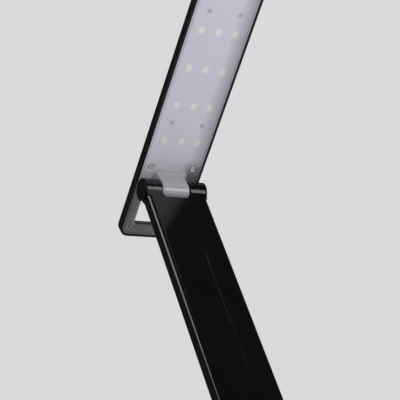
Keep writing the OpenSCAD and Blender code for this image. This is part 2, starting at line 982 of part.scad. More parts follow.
module head_back_shell() {
    color([0.07, 0.07, 0.08])
        in_head()
            difference() {
                union() {
                    difference() {
                        head_outside();
                        slab(face_y - e, cover_back)
                            head_plan(rim_w);
                        slab(cover_back - e, floor_y)
                            difference() {
                                head_plan(rim_w + ledge_w);
                                window_plan(window_wall);
                                bracket_plan(0);
                            }
                    }
                    for (x = [-1, 1], z = cover_screw_z)
                        y_cylinder(x * cover_screw_x, z, cover_back, floor_y + e, boss_r);
                    for (x = [-1, 1])
                        y_cylinder(x * handle_screw_x, handle_screw_z, cover_back, floor_y + e,
                            boss_r);
                    for (x = [-1, 1], z = dot_rows)
                        y_cylinder(x * dot_x, z, board_back, floor_y + e, standoff_r);
                    slab(board_back, floor_y + e)
                        for (x = [-1, 1])
                            translate([x * rib_x - rib_w / 2, board_start])
                                square([rib_w, board_end - board_start]);
                }
                slab(face_y, head_back + 1)
                    window_plan(0);
                window_back_bevel();
                slab(cover_back - e, bracket_y + bracket_t)
                    bracket_plan(0.2);
                slab(cover_back - e, floor_y)
                    translate([-bracket_slot / 2, 0])
                        square([bracket_slot, board_start]);
                for (x = [-1, 1], z = cover_screw_z)
                    cover_thread(x * cover_screw_x, z);
                for (x = [-1, 1])
                    cover_thread(x * handle_screw_x, handle_screw_z);
                for (x = [-1, 1])
                    y_cylinder(x * bracket_screw_x, bracket_screw_z, face_y, head_back - 0.5,
                        screw_r + fit_gap);
                for (x = [-1, 1], z = dot_rows)
                    y_cylinder(x * dot_x, z, face_y, head_back - 0.4, small_screw_r + fit_gap);
            }
}

// Bevel round the handle window's back edge
module window_back_bevel() {
    hull($fn = edge_fn) {
        slab(head_back - window_bevel, head_back)
            window_plan(0);
        slab(head_back, head_back + e)
            window_plan(window_bevel);
    }
}

module cover_thread(x, z) {
    y_cylinder(x, z, face_y, cover_y + screw_head_t + cover_screw_len + 2 * part_gap,
        screw_r + fit_gap);
}

// Side view of the tongue: a round barrel on a web that stands on the cover
module tongue_side() {
    circle(tongue_r);
    translate([0, -tongue_r])
        square([cover_y + e, 2 * tongue_r]);
}

// Concave blends where the tongue leaves the cover
module tongue_root() {
    half = tongue_w / 2;
    translate([0, cover_y, 0]) {
        both_sides()
            translate([half, 0, -tongue_r])
                mirror([0, 1, 0])
                    linear_extrude(2 * tongue_r)
                        blend_corner(root_r);
        translate([-half, 0, tongue_r])
            rotate([0, 90, 0])
                linear_extrude(tongue_w)
                    rotate([0, 0, 180])
                        blend_corner(root_r);
        both_sides()
            translate([half, 0, tongue_r])
                rotate([90, 0, 0])
                    rotate_extrude(angle = 90)
                        blend_corner(root_r);
    }
}

module front_cover() {
    color([0.75, 0.75, 0.78])
        in_head()
            difference() {
                union() {
                    slab(cover_y, cover_back)
                        difference() {
                            head_plan(rim_w + part_gap);
                            window_plan(0);
                        }
                    side_profile(-tongue_w / 2, tongue_w / 2)
                        tongue_side();
                    tongue_root();
                }
                slab(cover_y - e, cover_y + border_d)
                    difference() {
                        head_plan(rim_w + border_in);
                        head_plan(rim_w + border_in + border_w);
                    }
                x_cylinder(-bracket_w / 2 - part_gap, bracket_w / 2 + part_gap,
                    bracket_r + part_gap);
                translate([-bracket_w / 2 - part_gap, 0, -bracket_r - part_gap])
                    cube([bracket_w + 2 * part_gap, cover_back + 1, 2 * (bracket_r + part_gap)]);
                x_cylinder(-tongue_w, tongue_w, pin_r + part_gap);
                for (x = [-1, 1], z = cover_screw_z)
                    cover_screw_hole(x * cover_screw_x, z);
                for (x = [-1, 1])
                    cover_screw_hole(x * handle_screw_x, handle_screw_z);
            }
}

module cover_screw_hole(x, z) {
    y_cylinder(x, z, cover_y - 1, cover_y + screw_head_t + part_gap, screw_head_r + 0.2);
    y_cylinder(x, z, cover_y - 1, cover_back + 1, screw_r + part_gap);
}

module cover_screw(x, z) {
    translate([x, cover_y + part_gap, z])
        rotate([-90, 0, 0])
            pan_screw(screw_head_r, screw_head_t, screw_r, cover_screw_len);
}

module cover_screws() {
    color("silver")
        in_head()
            for (x = [-1, 1], z = cover_screw_z)
                cover_screw(x * cover_screw_x, z);
}

module handle_screws() {
    color("silver")
        in_head()
            for (x = [-1, 1])
                cover_screw(x * handle_screw_x, handle_screw_z);
}

module led_board() {
    w = head_w - 2 * (rim_w + ledge_w) - 0.4;
    color("white")
        in_head()
            difference() {
                slab(board_y, board_back)
                    translate([0, (board_start + board_end) / 2])
                        square([w, board_end - board_start], center = true);
                for (x = [-1, 1], z = dot_rows)
                    y_cylinder(x * dot_x, z, board_y - 1, board_back + 1, small_screw_r + fit_gap);
            }
}

module led_chips() {
    color("khaki")
        in_head()
            for (row = [0 : led_rows - 1], column = [0 : led_columns - 1])
                translate([(column - (led_columns - 1) / 2) * column_pitch - chip_w / 2,
                    board_y - chip_t, led_first + row * row_pitch - chip_h / 2])
                    cube([chip_w, chip_t, chip_h]);
}

module led_board_screws() {
    color("gray")
        in_head()
            for (x = [-1, 1], z = dot_rows)
                translate([x * dot_x, board_y - small_head_t, z])
                    rotate([-90, 0, 0])
                        pan_screw(small_head_r, small_head_t, small_screw_r, board_t + small_grip);
}

module hinge_bracket() {
    color("silver")
        in_head()
            difference() {
                union() {
                    x_cylinder(-bracket_w / 2, bracket_w / 2, bracket_r);
                    translate([-bracket_w / 2, 0, -bracket_web])
                        cube([bracket_w, bracket_y + e, 2 * bracket_web]);
                    translate([-bracket_w / 2, bracket_y, -bracket_r])
                        cube([bracket_w, bracket_t, bracket_r + bracket_end]);
                }
                x_cylinder(-bracket_w, bracket_w, pin_r + fit_gap);
                translate([-bracket_slot / 2, bracket_y - 0.5, bracket_web])
                    cube([bracket_slot, bracket_t + 1, bracket_end]);
                for (x = [-1, 1])
                    translate([x * bracket_screw_x, bracket_y, bracket_screw_z])
                        rotate([-90, 0, 0])
                            flat_screw_hole(screw_head_r, screw_r, bracket_t);
            }
}

module bracket_screws() {
    color("silver")
        in_head()
            for (x = [-1, 1])
                translate([x * bracket_screw_x, bracket_y, bracket_screw_z])
                    rotate([-90, 0, 0])
                        flat_screw(screw_head_r, screw_r, head_back - 0.6 - bracket_y);
}

// Two thin wires from the hinge, through the bracket's slot, to the light board
module head_lead() {
    wire_r = 0.55;
    drop_z = bracket_web + wire_r + part_gap;
    lie_y = floor_y - wire_r - part_gap;
    color("firebrick")
        in_head()
            for (x = [-1, 1])
                translate([x * (wire_r + 0.1), 0, 0]) {
                    y_cylinder(0, drop_z, bracket_r + 0.3, lie_y, wire_r);
                    translate([0, lie_y, drop_z])
                        sphere(wire_r);
                    translate([0, lie_y, drop_z])
                        cylinder(h = board_start + 2 - drop_z, r = wire_r);
                }
}

foot_pad();
base_bottom_cover();
base_top_housing();
ballast_plate();
ballast_screws();
battery_pack();
battery_tape();
main_board();
charging_board();
charging_socket();
circuit_board_screws();
tact_switches();
power_button();
brighter_button();
dimmer_button();
charge_light_pipe();
base_screws();
base_hinge_pin();
base_hinge_caps();
base_lead();
arm_front_shell();
arm_back_cover();
arm_screws();
arm_stiffener();
arm_lead();
base_hinge_washers();
head_hinge_pin();
head_hinge_washers();
head_hinge_caps();
head_back_shell();
front_cover();
led_board();
led_chips();
led_board_screws();
cover_screws();
handle_screws();
hinge_bracket();
bracket_screws();
head_lead();
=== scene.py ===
import math

import bmesh
import bpy
from mathutils import Matrix, Vector


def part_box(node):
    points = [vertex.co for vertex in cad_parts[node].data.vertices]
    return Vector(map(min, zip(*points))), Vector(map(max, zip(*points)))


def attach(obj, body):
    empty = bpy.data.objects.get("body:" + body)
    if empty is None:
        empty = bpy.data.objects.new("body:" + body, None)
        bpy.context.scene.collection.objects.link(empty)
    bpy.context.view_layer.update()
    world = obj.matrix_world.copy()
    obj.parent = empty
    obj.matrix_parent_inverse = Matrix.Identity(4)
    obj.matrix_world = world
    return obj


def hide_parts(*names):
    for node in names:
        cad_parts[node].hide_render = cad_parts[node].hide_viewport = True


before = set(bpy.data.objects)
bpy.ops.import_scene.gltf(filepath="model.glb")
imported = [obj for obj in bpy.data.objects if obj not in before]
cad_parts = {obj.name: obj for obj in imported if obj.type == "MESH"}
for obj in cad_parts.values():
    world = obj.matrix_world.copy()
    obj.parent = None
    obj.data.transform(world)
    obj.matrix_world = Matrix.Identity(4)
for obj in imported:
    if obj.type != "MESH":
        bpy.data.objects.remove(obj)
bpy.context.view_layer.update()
mm = 0.001

# Camera
# A long lens stands low and to the left, 0.88 m from the upper hinge, and looks up at it.
# The hinge falls where the photograph shows it, so the lens needs no shift.
pin_low, pin_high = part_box("head_hinge_pin")
upper_hinge = (pin_low + pin_high) / 2
camera_azimuth = math.radians(-24.82)
camera_elevation = math.radians(-9.26)
camera_distance = 876 * mm
picture_px = 400
focal_px = 1334.7
hinge_px = Vector((171.98, 191.93))
sensor_mm = 36
camera_back = Vector((
    math.sin(camera_azimuth) * math.cos(camera_elevation),
    -math.cos(camera_azimuth) * math.cos(camera_elevation),
    math.sin(camera_elevation),
))
camera_right = (-camera_back).cross(Vector((0, 0, 1))).normalized()
camera_up = camera_right.cross(-camera_back)
off_right = (hinge_px.x - picture_px / 2) / focal_px
off_up = (picture_px / 2 - hinge_px.y) / focal_px
aim = -camera_back - camera_right * off_right - camera_up * off_up
scene = bpy.context.scene
camera = bpy.data.objects.new("camera", bpy.data.cameras.new("camera"))
camera.location = upper_hinge + camera_back * camera_distance
camera.rotation_euler = aim.to_track_quat("-Z", "Y").to_euler()
camera.data.sensor_width = sensor_mm
camera.data.lens = focal_px / picture_px * sensor_mm
scene.collection.objects.link(camera)
scene.camera = camera
scene.view_settings.view_transform = "Standard"

# Studio
# A pale paper backdrop and floor. Gloss mirrors a dark ceiling, not the backdrop. One soft box
# stands in front on the right and one behind on the left. Two narrow ones rim the sides, and
# a weak one hangs overhead.


def add_node(tree, kind, sockets=None, **settings):
    node = tree.nodes.new("ShaderNode" + kind)
    for name, value in settings.items():
        setattr(node, name, value)
    for name, value in (sockets or {}).items():
        if isinstance(value, bpy.types.NodeSocket):
            tree.links.new(value, node.inputs[name])
        else:
            node.inputs[name].default_value = value
    return node


paper = (0.701, 0.694, 0.716)
white = (1, 1, 1, 1)
fill_strength = 0.46
ceiling_strength = 0.035
world = bpy.data.worlds.new("studio")
scene.world = world
world.use_nodes = True
tree = world.node_tree
tree.nodes.clear()
seen_by = add_node(tree, "LightPath").outputs
backdrop = add_node(tree, "Background", {"Color": (*paper, 1), "Strength": 1.0})
fill = add_node(tree, "Background", {"Color": white, "Strength": fill_strength})
ceiling = add_node(tree, "Background", {"Color": white, "Strength": ceiling_strength})
sky = fill.outputs[0]
for ray, light in (("Is Glossy Ray", ceiling), ("Is Transmission Ray", backdrop),
        ("Is Camera Ray", backdrop)):
    sky = add_node(tree, "MixShader", {0: seen_by[ray], 1: sky, 2: light.outputs[0]}).outputs[0]
add_node(tree, "OutputWorld", {"Surface": sky})


def soft_box(name, direction, distance, width, height, radiance):
    data = bpy.data.lights.new(name, "AREA")
    data.shape = "RECTANGLE"
    data.size = width
    data.size_y = height
    data.energy = radiance * math.pi * width * height
    lamp = bpy.data.objects.new(name, data)
    away = Vector(direction).normalized()
    lamp.location = upper_hinge + away * distance
    lamp.rotation_euler = away.to_track_quat("Z", "Y").to_euler()
    scene.collection.objects.link(lamp)


soft_box("front_right", (0.43, -0.87, 0.24), 1.2, 0.5, 0.52, 5.4)
soft_box("left_shoulder", (-0.78, 0.42, 0.5), 1.0, 0.5, 0.6, 5.0)
soft_box("left_strip", (-0.95, -0.3, 0.35), 1.3, 0.2, 0.9, 1.5)
soft_box("right_back_strip", (0.8, 0.65, 0.3), 1.3, 0.25, 0.9, 2.5)
soft_box("over_handle", (0.414, 0.3, 0.86), 1.2, 0.35, 0.3, 0.5)

floor_radius = 3.0
bpy.ops.mesh.primitive_circle_add(vertices=128, radius=floor_radius, fill_type="NGON")
floor = bpy.context.object
floor.name = "floor"
floor_paint = bpy.data.materials.new("floor_paint")
floor_paint.use_nodes = True
tree = floor_paint.node_tree
floor_shader = tree.nodes["Principled BSDF"]
floor_shader.inputs["Roughness"].default_value = 0.85
tooth = add_node(tree, "TexNoise", {"Scale": 260.0, "Detail": 3.0})
shade = add_node(tree, "MapRange", {
    "Value": tooth.outputs["Fac"], "To Min": 0.97, "To Max": 1.03})
tint = add_node(tree, "VectorMath", {0: paper, "Scale": shade.outputs[0]}, operation="SCALE")
tree.links.new(tint.outputs[0], floor_shader.inputs["Base Color"])
floor.data.materials.append(floor_paint)

# Foot pad and bottom cover
# A die-cut silicone sheet is glued into a shallow seat in the moulded bottom cover. The cover
# is black ABS, screwed up into the housing from below.


def maths(tree, operation, first, second=0.0):
    return add_node(tree, "Math", {0: first, 1: second}, operation=operation).outputs[0]


def ramp(tree, value, low, high, to_low=0.0, to_high=1.0):
    return add_node(tree, "MapRange", {
        "Value": value, "From Min": low, "From Max": high, "To Min": to_low, "To Max": to_high,
    }, interpolation_type="SMOOTHSTEP").outputs[0]


def blend(tree, amount, first, second):
    return add_node(tree, "Mix", {0: amount, 6: first, 7: second}, data_type="RGBA").outputs[2]


def noise(tree, place_of, scale, detail=3.0, **sockets):
    return add_node(tree, "TexNoise", {
        "Vector": place_of, "Scale": scale, "Detail": detail, **sockets}).outputs["Fac"]


def new_group(name, inputs, outputs):
    tree = bpy.data.node_groups.new(name, "ShaderNodeTree")
    for label, value in inputs.items():
        kind = "Float" if isinstance(value, float) else "Color" if len(value) == 4 else "Vector"
        socket = tree.interface.new_socket(label, in_out="INPUT", socket_type="NodeSocket" + kind)
        socket.default_value = value
    for label in outputs:
        kind = "Color" if label == "Color" else "Float"
        tree.interface.new_socket(label, in_out="OUTPUT", socket_type="NodeSocket" + kind)
    given = tree.nodes.new("NodeGroupInput").outputs
    return tree, given, tree.nodes.new("NodeGroupOutput").inputs


# Rubbed edges: in patches, where a rounded normal leaves the face's own
rubbed_edges, given, result = new_group(
    "rubbed_edges", {"Radius": 0.4 * mm, "Patches": 120.0}, ["Mask"])
rounded = add_node(rubbed_edges, "Bevel", {"Radius": given["Radius"]}, samples=4)
own = add_node(rubbed_edges, "NewGeometry").outputs["Normal"]
turned = add_node(rubbed_edges, "VectorMath", {
    0: rounded.outputs[0], 1: own}, operation="DOT_PRODUCT").outputs["Value"]
place_of = add_node(rubbed_edges, "TexCoord").outputs["Object"]
worn = ramp(rubbed_edges, noise(rubbed_edges, place_of, given["Patches"]), 0.42, 0.68)
mask = maths(rubbed_edges, "MULTIPLY", ramp(rubbed_edges, turned, 0.99, 0.85), worn)
rubbed_edges.links.new(mask, result["Mask"])

# Settled dust: specks and a thin haze on what faces up
settled_dust, given, result = new_group("settled_dust", {"Amount": 0.1}, ["Mask"])
lie = add_node(settled_dust, "TexCoord").outputs
up = add_node(settled_dust, "SeparateXYZ", {0: lie["Normal"]}).outputs["Z"]
haze = ramp(settled_dust, noise(settled_dust, lie["Object"], 45.0), 0.4, 0.8, 0.2, 1.0)
speck = ramp(settled_dust, noise(settled_dust, lie["Object"], 1500.0, 2.0), 0.66, 0.74, 0.25, 1.0)
mask = maths(settled_dust, "MULTIPLY", maths(settled_dust, "MULTIPLY", haze, speck), maths(
    settled_dust, "MULTIPLY", ramp(settled_dust, up, 0.3, 0.95), given["Amount"]))
settled_dust.links.new(mask, result["Mask"])

# Moulded skin: spark-eroded grain, cloudy pigment, finger marks in the gloss
moulded_skin, given, result = new_group("moulded_skin", {
    "Color": (0.01, 0.01, 0.01, 1), "Rubbed Color": (0.05, 0.05, 0.05, 1), "Gloss": 0.2,
    "Smudge": 0.08, "Grain Scale": 1800.0, "Rub": 0.0, "Dust": 0.0,
}, ["Color", "Roughness", "Height"])
dust_grey = (0.22, 0.215, 0.21, 1)
place_of = add_node(moulded_skin, "TexCoord").outputs["Object"]
pigment = ramp(moulded_skin, noise(moulded_skin, place_of, 35.0), 0.3, 0.7, 0.85, 1.15)
tone = add_node(moulded_skin, "VectorMath", {
    0: given["Color"], "Scale": pigment}, operation="SCALE").outputs[0]
tone = blend(moulded_skin, given["Rub"], tone, given["Rubbed Color"])
tone = blend(moulded_skin, given["Dust"], tone, dust_grey)
finger = ramp(moulded_skin, noise(moulded_skin, place_of, 95.0, 5.0, Distortion=0.6), 0.5, 0.72)
rough = maths(moulded_skin, "ADD", given["Gloss"], maths(
    moulded_skin, "MULTIPLY", finger, given["Smudge"]))
rough = maths(moulded_skin, "ADD", rough, given["Dust"])
moulded_skin.links.new(tone, result["Color"])
moulded_skin.links.new(rough, result["Roughness"])
moulded_skin.links.new(
    noise(moulded_skin, place_of, given["Grain Scale"], 2.0), result["Height"])


def new_material(name, **sockets):
    material = bpy.data.materials.new(name)
    material.use_nodes = True
    shader = material.node_tree.nodes["Principled BSDF"]
    for label, value in sockets.items():
        shader.inputs[label.replace("_", " ")].default_value = value
    return material, material.node_tree, shader


def wire_up(tree, shader, surface, grain_depth, soften=0.0):
    bump = add_node(tree, "Bump", {"Height": surface["Height"], "Distance": grain_depth})
    if soften:
        edge = add_node(tree, "Bevel", {"Radius": soften}, samples=6)
        tree.links.new(edge.outputs[0], bump.inputs["Normal"])
    tree.links.new(surface["Color"], shader.inputs["Base Color"])
    tree.links.new(surface["Roughness"], shader.inputs["Roughness"])
    tree.links.new(bump.outputs[0], shader.inputs["Normal"])


def plastic(name, colour, rubbed, gloss, smudge, grain_scale, grain_depth, soften, dust=0.0,
        **sockets):
    material, tree, shader = new_material(name, **sockets)
    rub = add_node(tree, "Group", {"Radius": soften}, node_tree=rubbed_edges)
    settled = add_node(tree, "Group", {"Amount": dust}, node_tree=settled_dust)
    skin = add_node(tree, "Group", {
        "Color": (*colour, 1), "Rubbed Color": (*rubbed, 1), "Gloss": gloss, "Smudge": smudge,
        "Grain Scale": grain_scale, "Rub": rub.outputs["Mask"], "Dust": settled.outputs["Mask"],
    }, node_tree=moulded_skin)
    wire_up(tree, shader, skin.outputs, grain_depth, soften)
    return material


def finish(material, *nodes):
    for node in nodes:
        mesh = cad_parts[node].data
        mesh.materials.clear()
        mesh.materials.append(material)


silicone = plastic("pad_silicone", (0.028, 0.028, 0.03), (0.06, 0.06, 0.062),
    0.62, 0.12, 900.0, 0.03 * mm, 0.4 * mm)
black_abs = plastic("base_plastic", (0.0075, 0.0075, 0.008), (0.028, 0.028, 0.03),
    0.22, 0.03, 1500.0, 0.002 * mm, 0.9 * mm, dust=0.05)
finish(silicone, "foot_pad")
finish(black_abs, "base_bottom_cover")

# Ballast and its screws
# A rolled steel plate, laser cut and zinc plated, weighs the base down. Four pan-head
# screws hold it to the bottom cover.

# Drawn metal: streaks along one way, and dull patches
drawn_metal, given, result = new_group("drawn_metal", {
    "Color": (0.6, 0.6, 0.6, 1), "Dull Color": (0.4, 0.4, 0.4, 1), "Polish": 0.25,
    "Streaks": (1.0, 1.0, 1.0),
}, ["Color", "Roughness", "Height"])
place_of = add_node(drawn_metal, "TexCoord").outputs["Object"]
along = add_node(drawn_metal, "VectorMath", {
    0: place_of, 1: given["Streaks"]}, operation="MULTIPLY").outputs[0]
streak = noise(drawn_metal, along, 1.0, 4.0)
patch = ramp(drawn_metal, noise(drawn_metal, place_of, 160.0, 4.0), 0.42, 0.7)
dulled = blend(drawn_metal, patch, given["Color"], given["Dull Color"])
drawn_metal.links.new(dulled, result["Color"])
rough = maths(drawn_metal, "ADD", given["Polish"], maths(
    drawn_metal, "ADD", maths(drawn_metal, "MULTIPLY", patch, 0.12), maths(
        drawn_metal, "MULTIPLY", streak, 0.12)))
drawn_metal.links.new(rough, result["Roughness"])
drawn_metal.links.new(streak, result["Height"])


def metal(name, colour, dull, polish, streaks, depth=0.004 * mm, soften=0.0):
    material, tree, shader = new_material(name, Metallic=1.0)
    surface = add_node(tree, "Group", {
        "Color": (*colour, 1), "Dull Color": (*dull, 1), "Polish": polish, "Streaks": streaks,
    }, node_tree=drawn_metal)
    wire_up(tree, shader, surface.outputs, depth, soften)
    return material


rolled = (2600.0, 60.0, 2600.0)
turned_round_x = (4200.0, 90.0, 90.0)
even = (1800.0, 1800.0, 1800.0)
plated_plate = metal("ballast_steel", (0.56, 0.57, 0.58), (0.4, 0.41, 0.43), 0.3, rolled)
screw_steel = metal("screw_steel", (0.68, 0.68, 0.67), (0.5, 0.5, 0.5), 0.2, even)
finish(plated_plate, "ballast_plate")
finish(screw_steel, "ballast_screws", "base_screws")

# Battery
# A flat lithium cell in blue shrink film lies on a strip of white foam tape on the ballast.
# Its red and black leads run forward to a white plug on the main board.
film, tree, shader = new_material("battery_wrap", Coat_Weight=0.3, Coat_Roughness=0.2)
place_of = add_node(tree, "TexCoord").outputs["Object"]
stretched = add_node(tree, "VectorMath", {
    0: place_of, 1: (220.0, 40.0, 300.0)}, operation="MULTIPLY").outputs[0]
wrinkle = noise(tree, stretched, 1.0, 4.0)
film_blue, film_light = (0.02, 0.085, 0.3, 1), (0.03, 0.12, 0.4, 1)
surface = {
    "Color": blend(tree, ramp(tree, wrinkle, 0.35, 0.65), film_blue, film_light),
    "Roughness": ramp(tree, wrinkle, 0.2, 0.8, 0.22, 0.4), "Height": wrinkle}
wire_up(tree, shader, surface, 0.12 * mm, 0.5 * mm)
finish(film, "battery_pack")
foam, tree, shader = new_material("foam_tape")
pores = add_node(tree, "TexVoronoi", {
    "Vector": add_node(tree, "TexCoord").outputs["Object"], "Scale": 2400.0}).outputs["Distance"]
pore_grey, foam_white = (0.45, 0.44, 0.41, 1), (0.72, 0.71, 0.67, 1)
surface = {
    "Color": blend(tree, ramp(tree, pores, 0.1, 0.6), pore_grey, foam_white),
    "Roughness": ramp(tree, pores, 0.0, 1.0, 0.95, 0.8), "Height": pores}
wire_up(tree, shader, surface, 0.15 * mm)
finish(foam, "battery_tape")


def place_piece(piece, material, body, place=None):
    scene.collection.objects.link(piece)
    piece.data.materials.append(material)
    piece.matrix_world = place or Matrix.Identity(4)
    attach(piece, body)
    return piece


def strand(name, paths, radius, material, body, place=None, kind="NURBS"):
    curve = bpy.data.curves.new(name, "CURVE")
    curve.dimensions = "3D"
    curve.bevel_depth = radius
    curve.bevel_resolution = 3
    curve.use_fill_caps = True
    for path in paths:
        spline = curve.splines.new(kind)
        spline.points.add(len(path) - 1)
        for point, spot in zip(spline.points, path):
            point.co = (*spot, 1)
        spline.use_endpoint_u = True
        spline.order_u = 4
    return place_piece(bpy.data.objects.new(name, curve), material, body, place)


board_low, board_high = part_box("main_board")
cell_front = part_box("battery_pack")[0].y
switch_low, switch_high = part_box("tact_switches")
board_top = switch_low.z
plug_x = 14 * mm
plug_size = Vector((7.5, 5.5, 4.5)) * mm
plug_y = board_high.y - 8 * mm
lead_z = board_top + 2.4 * mm
lead_r, lead_apart = 0.65 * mm, 2.5 * mm
for name, colour, side in (("battery_lead_plus", (0.4, 0.012, 0.01), 1),
        ("battery_lead_minus", (0.008, 0.008, 0.009), -1)):
    sleeve = plastic(name, colour, colour, 0.4, 0.1, 1500.0, 0.002 * mm, 0.1 * mm)
    x = plug_x + side * lead_apart / 2
    strand(name, [[
        (x, plug_y + 1.5 * mm, lead_z), (x, plug_y + 5 * mm, lead_z),
        (x + 1.5 * mm, plug_y + 12 * mm, lead_z + side * 0.4 * mm),
        (x - 2 * mm, cell_front - 12 * mm, lead_z - 0.5 * mm),
        (x - 3 * mm, cell_front - 5 * mm, lead_z - 1 * mm),
        (x - 3 * mm, cell_front + 0.5 * mm, lead_z - 1 * mm),
    ]], lead_r, sleeve, "base")

# Boards, switches and charging socket
# Two glass-fibre boards with solder mask, held by small screws: the main one carries the
# driver, its coil and three tact switches, the rear one the pressed steel charging socket.


def add_block(bm, middle, size, soft):
    grown = Matrix.Translation(middle) @ Matrix.Diagonal((*size, 1))
    corners = bmesh.ops.create_cube(bm, size=1, matrix=grown)["verts"]
    edges = dict.fromkeys(edge for corner in corners for edge in corner.link_edges)
    bmesh.ops.bevel(bm, geom=list(edges), offset=soft, segments=2, affect="EDGES", profile=0.5)


def add_round(bm, middle, radius, height, soft, steps=32):
    sink = height / 2
    levels = [(radius, -sink), (radius, sink - soft), (radius - soft * 0.3, sink - soft * 0.3),
        (radius - soft, sink)]
    rings = []
    for size, level in levels:
        turns = [math.tau * i / steps for i in range(steps)]
        rings.append([bm.verts.new(middle + Vector((
            size * math.cos(turn), size * math.sin(turn), level))) for turn in turns])
    for lower, upper in zip(rings, rings[1:]):
        for i in range(steps):
            j = (i + 1) % steps
            bm.faces.new((lower[i], lower[j], upper[j], upper[i]))
    bm.faces.new(rings[0])
    bm.faces.new(rings[-1])


def piece_of(name, bm, material, body, place=None, crease=math.radians(35)):
    bmesh.ops.recalc_face_normals(bm, faces=bm.faces)
    for shaded in bm.faces:
        shaded.smooth = True
    for edge in bm.edges:
        edge.smooth = len(edge.link_faces) == 2 and edge.calc_face_angle() < crease
    mesh = bpy.data.meshes.new(name)
    bm.to_mesh(mesh)
    bm.free()
    return place_piece(bpy.data.objects.new(name, mesh), material, body, place)


# Printed board: mask over copper tracks, with bare pads
printed_board, given, result = new_group("printed_board", {
    "Mask Color": (0.01, 0.08, 0.03, 1), "Track Color": (0.02, 0.16, 0.06, 1),
}, ["Color", "Roughness", "Height"])
place_of = add_node(printed_board, "TexCoord").outputs["Object"]
cells = add_node(printed_board, "TexVoronoi", {
    "Vector": place_of, "Scale": 260.0}, distance="MANHATTAN").outputs["Distance"]
wander = add_node(printed_board, "TexWave", {
    "Vector": place_of, "Scale": 90.0, "Distortion": 6.0, "Detail": 1.0}).outputs["Fac"]
track = ramp(printed_board, wander, 0.55, 0.62)
pad = ramp(printed_board, cells, 0.16, 0.1)
coloured = blend(printed_board, track, given["Mask Color"], given["Track Color"])
coloured = blend(printed_board, pad, coloured, (0.55, 0.56, 0.57, 1))
printed_board.links.new(coloured, result["Color"])
printed_board.links.new(ramp(printed_board, pad, 0.0, 1.0, 0.35, 0.22), result["Roughness"])
printed_board.links.new(maths(printed_board, "ADD", track, pad), result["Height"])


def board(name, mask_colour, track_colour, top=1.0):
    material, tree, shader = new_material(name)
    surface = add_node(tree, "Group", {
        "Mask Color": (*mask_colour, 1), "Track Color": (*track_colour, 1),
    }, node_tree=printed_board)
    wire_up(tree, shader, surface.outputs, 0.03 * mm)
    spot = add_node(tree, "TexCoord").outputs["Object"]
    height = add_node(tree, "SeparateXYZ", {0: spot}).outputs["Z"]
    above = maths(tree, "GREATER_THAN", height, top)
    coloured = blend(tree, above, surface.outputs["Color"], (0.012, 0.012, 0.013, 1))
    tree.links.new(coloured, shader.inputs["Base Color"])
    return material


green_board = board("circuit_board", (0.006, 0.07, 0.025), (0.012, 0.13, 0.05),
    board_top + 0.1 * mm)
finish(green_board, "main_board", "charging_board")
finish(screw_steel, "circuit_board_screws")
socket_steel = metal("socket_steel", (0.62, 0.62, 0.61), (0.5, 0.5, 0.5), 0.22, rolled)
finish(socket_steel, "charging_socket")
dark_nylon = plastic("switch_plastic", (0.02, 0.02, 0.021), (0.05, 0.05, 0.05),
    0.45, 0.1, 2000.0, 0.004 * mm, 0.15 * mm)
white_nylon = plastic("plug_plastic", (0.62, 0.6, 0.55), (0.7, 0.7, 0.68),
    0.4, 0.1, 2000.0, 0.004 * mm, 0.15 * mm)

bm = bmesh.new()
add_block(bm, Vector((plug_x, plug_y, board_top + plug_size.z / 2)), plug_size, 0.3 * mm)
piece_of("battery_plug", bm, white_nylon, "base")

driver_x, driver_in = -3.5 * mm, 3.5 * mm
leg_pitch, leg_reach = 1.6 * mm, 4.2 * mm
resistor_start, resistor_pitch = -24 * mm, 9.5 * mm
resistor_in, resistor_step = 12 * mm, 3 * mm
leg_size = Vector((0.45, 1.6, 0.6)) * mm
resistor_size = Vector((1.6, 0.8, 0.6)) * mm
on_board = board_top + 0.3 * mm
bm = bmesh.new()
for i in range(4):
    for side in (-1, 1):
        leg = Vector((driver_x + (i - 1.5) * leg_pitch, 0, on_board))
        leg.y = (board_low.y + board_high.y) / 2 + driver_in + side * leg_reach
        add_block(bm, leg, leg_size, 0.08 * mm)
for i in range(6):
    resistor = Vector((resistor_start + resistor_pitch * i, 0, on_board))
    resistor.y = board_low.y + resistor_in + resistor_step * (i % 3)
    add_block(bm, resistor, resistor_size, 0.08 * mm)
piece_of("driver_legs", bm, socket_steel, "base")

# The switches: a nylon body under a steel lid, with a round stem that the button presses
switch_y = (switch_low.y + switch_high.y) / 2
stem_h = 0.8 * mm
lid_t = 0.3 * mm
stem_r = 1.6 * mm
side = switch_high.y - switch_low.y
rivet_out = side * 0.36
rivet_r, rivet_h = 0.4 * mm, 0.2 * mm
bodies, lids = bmesh.new(), bmesh.new()
for key in ("dimmer_button", "power_button", "brighter_button"):
    key_low, key_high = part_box(key)
    x = (key_low.x + key_high.x) / 2
    body_h = switch_high.z - stem_h - lid_t - board_top
    add_block(bodies, Vector((x, switch_y, board_top + body_h / 2)),
        Vector((side, side, body_h)), 0.25 * mm)
    add_round(bodies, Vector((x, switch_y, switch_high.z - (stem_h + lid_t) / 2)), stem_r,
        stem_h + lid_t, 0.25 * mm)
    add_block(lids, Vector((x, switch_y, board_top + body_h + lid_t / 2)),
        Vector((side, side, lid_t)), 0.1 * mm)
    for a in (-1, 1):
        for b in (-1, 1):
            rivet = Vector((x + a * rivet_out, switch_y + b * rivet_out, 0))
            rivet.z = board_top + body_h + lid_t
            add_round(lids, rivet, rivet_r, rivet_h, 0.1 * mm, 12)
switches = piece_of("switch_bodies", bodies, dark_nylon, "base")
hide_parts("tact_switches")
piece_of("switch_lids", lids, socket_steel, "base")

